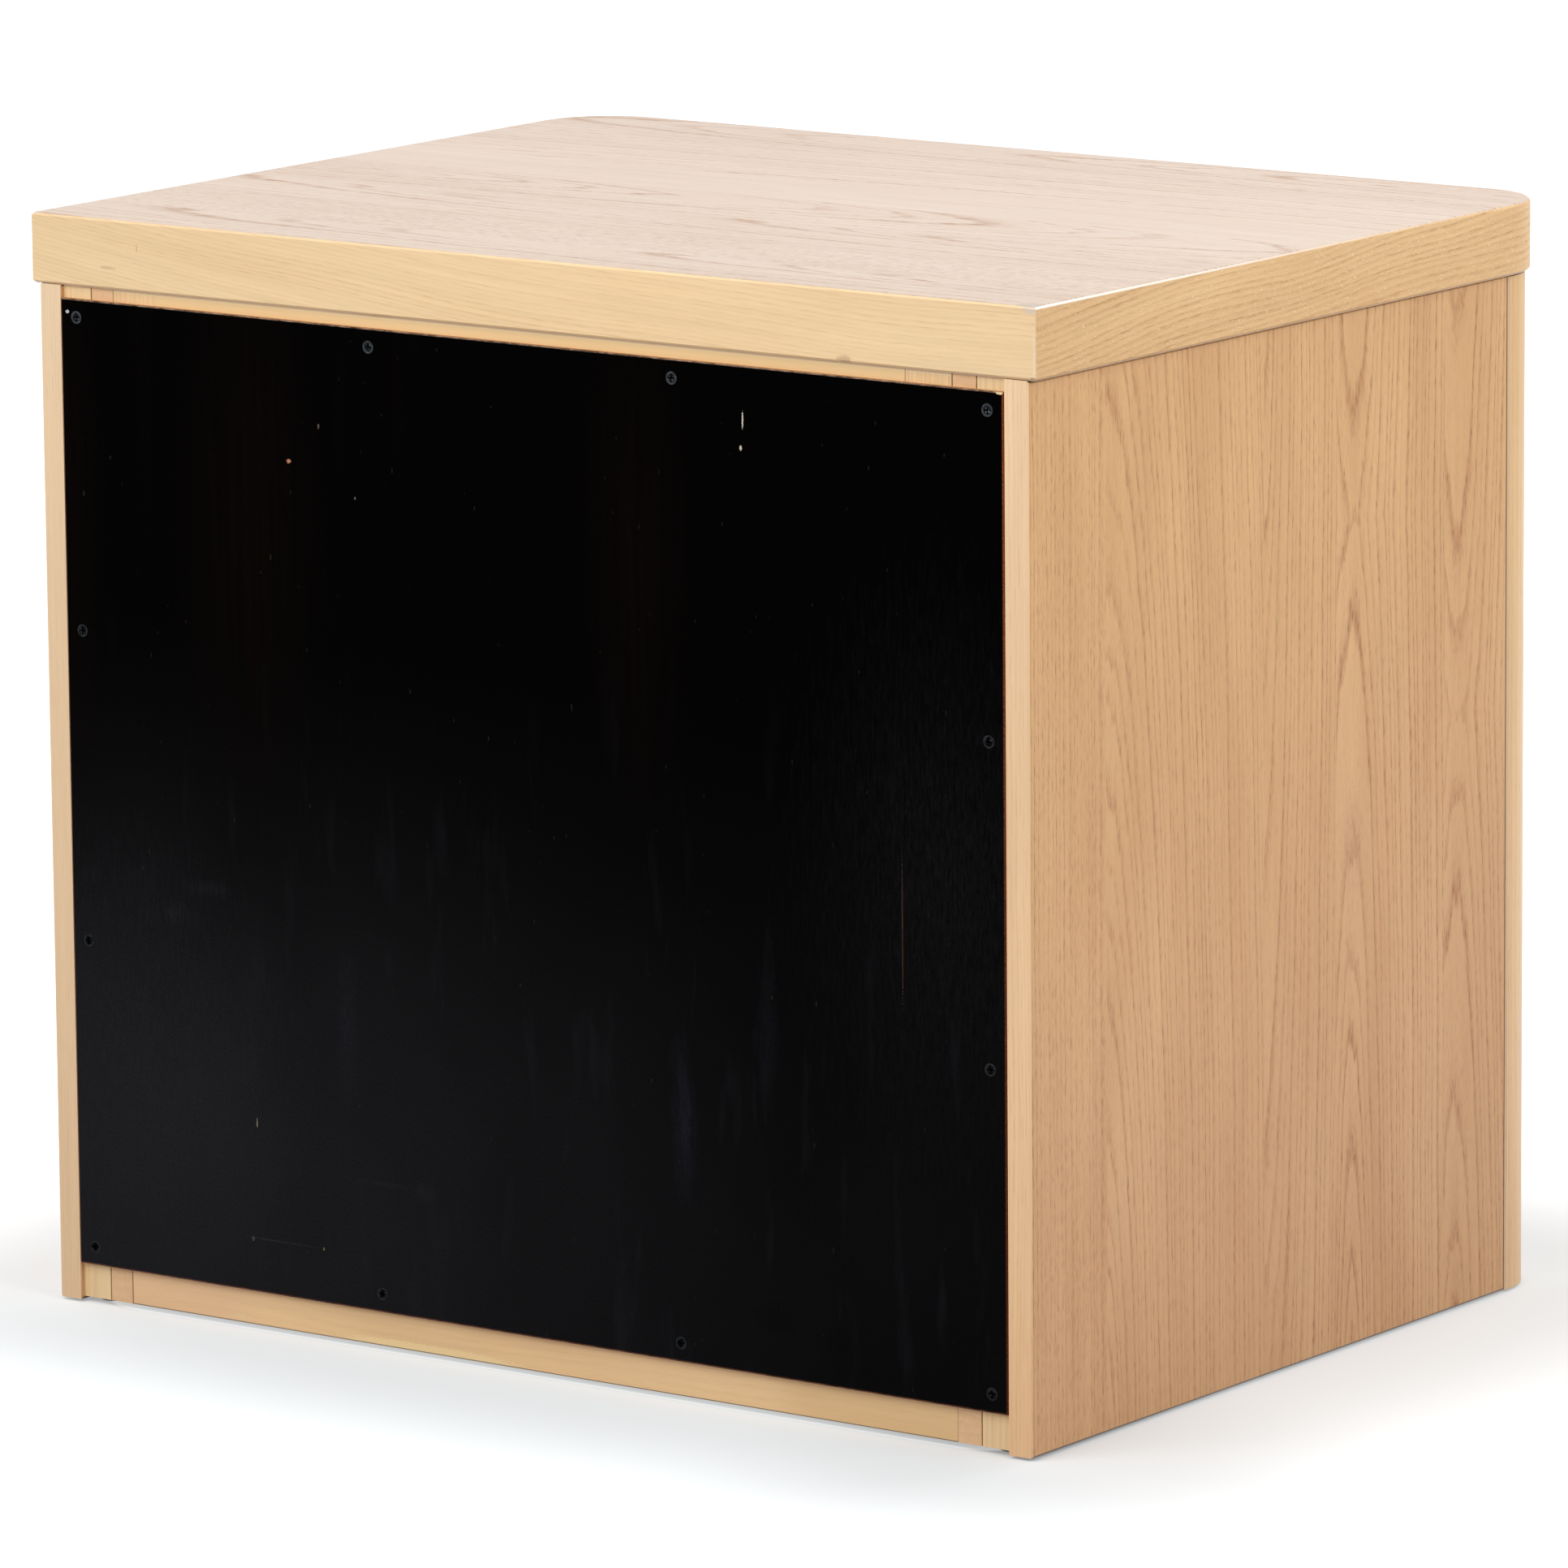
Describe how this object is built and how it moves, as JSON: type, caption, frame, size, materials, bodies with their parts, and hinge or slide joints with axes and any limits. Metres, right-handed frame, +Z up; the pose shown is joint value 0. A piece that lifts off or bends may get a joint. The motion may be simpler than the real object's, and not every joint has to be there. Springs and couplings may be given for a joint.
{
  "type": "nightstand",
  "caption": "Bedside cabinet with a thick round-cornered top, round front stiles, handleless drawers on ball bearing slides and a screwed-on dark back panel.",
  "frame": {"origin": "centre of the footprint, on the floor under the glides", "axes": "+Z is up, the drawer fronts face -Y, and +X runs along the width"},
  "size_m": [0.658, 0.501, 0.6015],
  "materials": {
    "oak_top": "pale limed oak veneer, satin lacquer",
    "oak_edge": "oak edge strip, satin lacquer",
    "oak_rear_edge": "oak edge strip, satin lacquer",
    "oak_side": "oak veneer with upright grain, satin lacquer",
    "oak_side_edge": "oak edge strip, satin lacquer",
    "oak_stile": "solid oak, satin lacquer",
    "oak_rail": "solid oak, satin lacquer",
    "oak_front": "oak veneer, satin lacquer",
    "pine_frame": "planed softwood",
    "birch_board": "birch plywood, thin lacquer",
    "birch_box": "solid birch, thin lacquer",
    "beech_dowel": "fluted beech",
    "black_board": "thin plywood, black stain, satin",
    "black_steel": "black oxide",
    "zinc_steel": "bright zinc",
    "slide_steel": "bright zinc, rolled",
    "grey_glide": "moulded plastic"
  },
  "bodies": {
    "case": {"top_panel": "oak_top", "top_edge_band": "oak_edge", "top_rear_edge_band": "oak_rear_edge", "side_panel_left": "oak_side", "side_panel_right": "oak_side", "side_rear_edge_bands": "oak_side_edge", "front_stile_left": "oak_stile", "front_stile_right": "oak_stile", "inner_side_left": "birch_board", "inner_side_right": "birch_board", "rear_spacer_left": "pine_frame", "rear_spacer_right": "pine_frame", "front_spacer_left": "pine_frame", "front_spacer_right": "pine_frame", "top_rear_rail": "oak_rail", "top_rail_end_blocks": "pine_frame", "bottom_rear_rail": "oak_rail", "top_front_rail": "birch_board", "middle_front_rail": "birch_board", "bottom_front_rail": "oak_stile", "bottom_panel": "birch_board", "top_cleats": "pine_frame", "back_panel": "black_board", "back_panel_screws": "black_steel", "case_screws": "zinc_steel", "dowels": "beech_dowel", "floor_glides": "grey_glide", "upper_slide_left_outer": "slide_steel", "upper_slide_right_outer": "slide_steel", "lower_slide_left_outer": "slide_steel", "lower_slide_right_outer": "slide_steel"},
    "upper_drawer": {"upper_front": "oak_front", "upper_box_front": "birch_box", "upper_box_back": "birch_box", "upper_box_left": "birch_box", "upper_box_right": "birch_box", "upper_box_bottom": "birch_board", "upper_screws": "zinc_steel", "upper_stop_pads": "grey_glide", "upper_slide_left_inner": "slide_steel", "upper_slide_right_inner": "slide_steel"},
    "upper_slide_middles": {"upper_slide_left_middle": "slide_steel", "upper_slide_right_middle": "slide_steel"},
    "upper_outer_cages": {"upper_outer_ball_cages": "slide_steel"},
    "upper_inner_cages": {"upper_inner_ball_cages": "slide_steel"},
    "lower_drawer": {"lower_front": "oak_front", "lower_box_front": "birch_box", "lower_box_back": "birch_box", "lower_box_left": "birch_box", "lower_box_right": "birch_box", "lower_box_bottom": "birch_board", "lower_screws": "zinc_steel", "lower_stop_pads": "grey_glide", "lower_slide_left_inner": "slide_steel", "lower_slide_right_inner": "slide_steel"},
    "lower_slide_middles": {"lower_slide_left_middle": "slide_steel", "lower_slide_right_middle": "slide_steel"},
    "lower_outer_cages": {"lower_outer_ball_cages": "slide_steel"},
    "lower_inner_cages": {"lower_inner_ball_cages": "slide_steel"}
  },
  "joints": [
    {"name": "upper_drawer_slide", "type": "slide", "parent": "case", "child": "upper_drawer", "axis": [0, -1, 0], "range_m": [0, 0.38]},
    {"name": "upper_middle_slide", "type": "slide", "parent": "case", "child": "upper_slide_middles", "axis": [0, -1, 0], "range_m": [0, 0.19]},
    {"name": "upper_outer_cage_slide", "type": "slide", "parent": "case", "child": "upper_outer_cages", "axis": [0, -1, 0], "range_m": [0, 0.095]},
    {"name": "upper_inner_cage_slide", "type": "slide", "parent": "case", "child": "upper_inner_cages", "axis": [0, -1, 0], "range_m": [0, 0.285]},
    {"name": "lower_drawer_slide", "type": "slide", "parent": "case", "child": "lower_drawer", "axis": [0, -1, 0], "range_m": [0, 0.38]},
    {"name": "lower_middle_slide", "type": "slide", "parent": "case", "child": "lower_slide_middles", "axis": [0, -1, 0], "range_m": [0, 0.19]},
    {"name": "lower_outer_cage_slide", "type": "slide", "parent": "case", "child": "lower_outer_cages", "axis": [0, -1, 0], "range_m": [0, 0.095]},
    {"name": "lower_inner_cage_slide", "type": "slide", "parent": "case", "child": "lower_inner_cages", "axis": [0, -1, 0], "range_m": [0, 0.285]}
  ],
  "couplings": [
    {"joint": "upper_middle_slide", "follows": "upper_drawer_slide", "ratio": 0.5},
    {"joint": "upper_outer_cage_slide", "follows": "upper_drawer_slide", "ratio": 0.25},
    {"joint": "upper_inner_cage_slide", "follows": "upper_drawer_slide", "ratio": 0.75},
    {"joint": "lower_middle_slide", "follows": "lower_drawer_slide", "ratio": 0.5},
    {"joint": "lower_outer_cage_slide", "follows": "lower_drawer_slide", "ratio": 0.25},
    {"joint": "lower_inner_cage_slide", "follows": "lower_drawer_slide", "ratio": 0.75}
  ]
}
